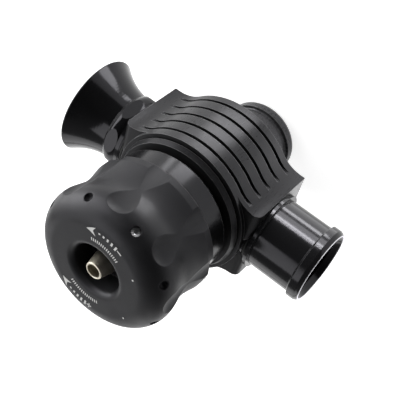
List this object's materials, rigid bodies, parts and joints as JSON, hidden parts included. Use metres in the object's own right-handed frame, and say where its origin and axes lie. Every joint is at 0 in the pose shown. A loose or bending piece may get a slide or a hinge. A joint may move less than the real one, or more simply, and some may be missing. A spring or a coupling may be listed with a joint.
{
  "type": "blow off valve",
  "caption": "Black piston blow off valve with a grooved body, vent trumpet, recirculation spigot, inlet spigot and a scooped spring adjuster cap with a vacuum nipple.",
  "frame": {"origin": "centre of the inlet's mouth, on the valve axis", "axes": "+Z along the valve axis from the inlet to the cap, +X towards the vent trumpet, -X towards the recirculation spigot"},
  "size_m": [0.0974, 0.0504, 0.0911],
  "materials": {
    "satin_black": "satin black anodise with fine tool marks",
    "gloss_black": "polished black anodise",
    "charcoal": "fine blasted charcoal anodise",
    "pale_brass": "nickel washed brass",
    "bright_steel": "bright turned steel",
    "brass": "turned brass",
    "guide_plastic": "matte guide plastic",
    "spring_steel": "drawn spring wire",
    "plain_aluminium": "turned, uncoated",
    "seal_rubber": "matte seal rubber"
  },
  "bodies": {
    "housing": {"valve_body": "satin_black", "inlet_spigot": "satin_black", "inlet_o_ring": "seal_rubber", "recirc_spigot": "gloss_black", "recirc_o_ring": "seal_rubber", "vent_trumpet": "gloss_black", "trumpet_o_ring": "seal_rubber", "cylinder_sleeve": "gloss_black", "sleeve_o_ring": "seal_rubber", "cap_o_ring": "seal_rubber"},
    "piston": {"piston": "brass", "piston_guide_rings": "guide_plastic", "piston_o_ring": "seal_rubber", "piston_nose_seal": "seal_rubber"},
    "seat": {"spring_seat": "plain_aluminium", "thrust_washer": "brass", "main_spring": "spring_steel"},
    "cap": {"adjuster_cap": "charcoal", "vacuum_nipple": "pale_brass", "nipple_o_ring": "seal_rubber", "lock_screw": "bright_steel"}
  },
  "joints": [
    {"name": "piston_lift", "type": "slide", "parent": "housing", "child": "piston", "axis": [0, 0, 1], "range_m": [0, 0.01], "stiffness_N_per_m": 2000, "springref_m": -0.012, "deforming": ["main_spring"]},
    {"name": "seat_travel", "type": "slide", "parent": "housing", "child": "seat", "axis": [0, 0, 1], "range_m": [-0.0015, 0.0015], "deforming": ["main_spring"]},
    {"name": "cap_turn", "type": "hinge", "parent": "seat", "child": "cap", "pos_m": [0, 0, 0.07], "axis": [0, 0, 1], "range_deg": [-360, 360]}
  ],
  "couplings": [
    {"joint": "cap_turn", "follows": "seat_travel", "rad_per_m": -4188.8}
  ]
}
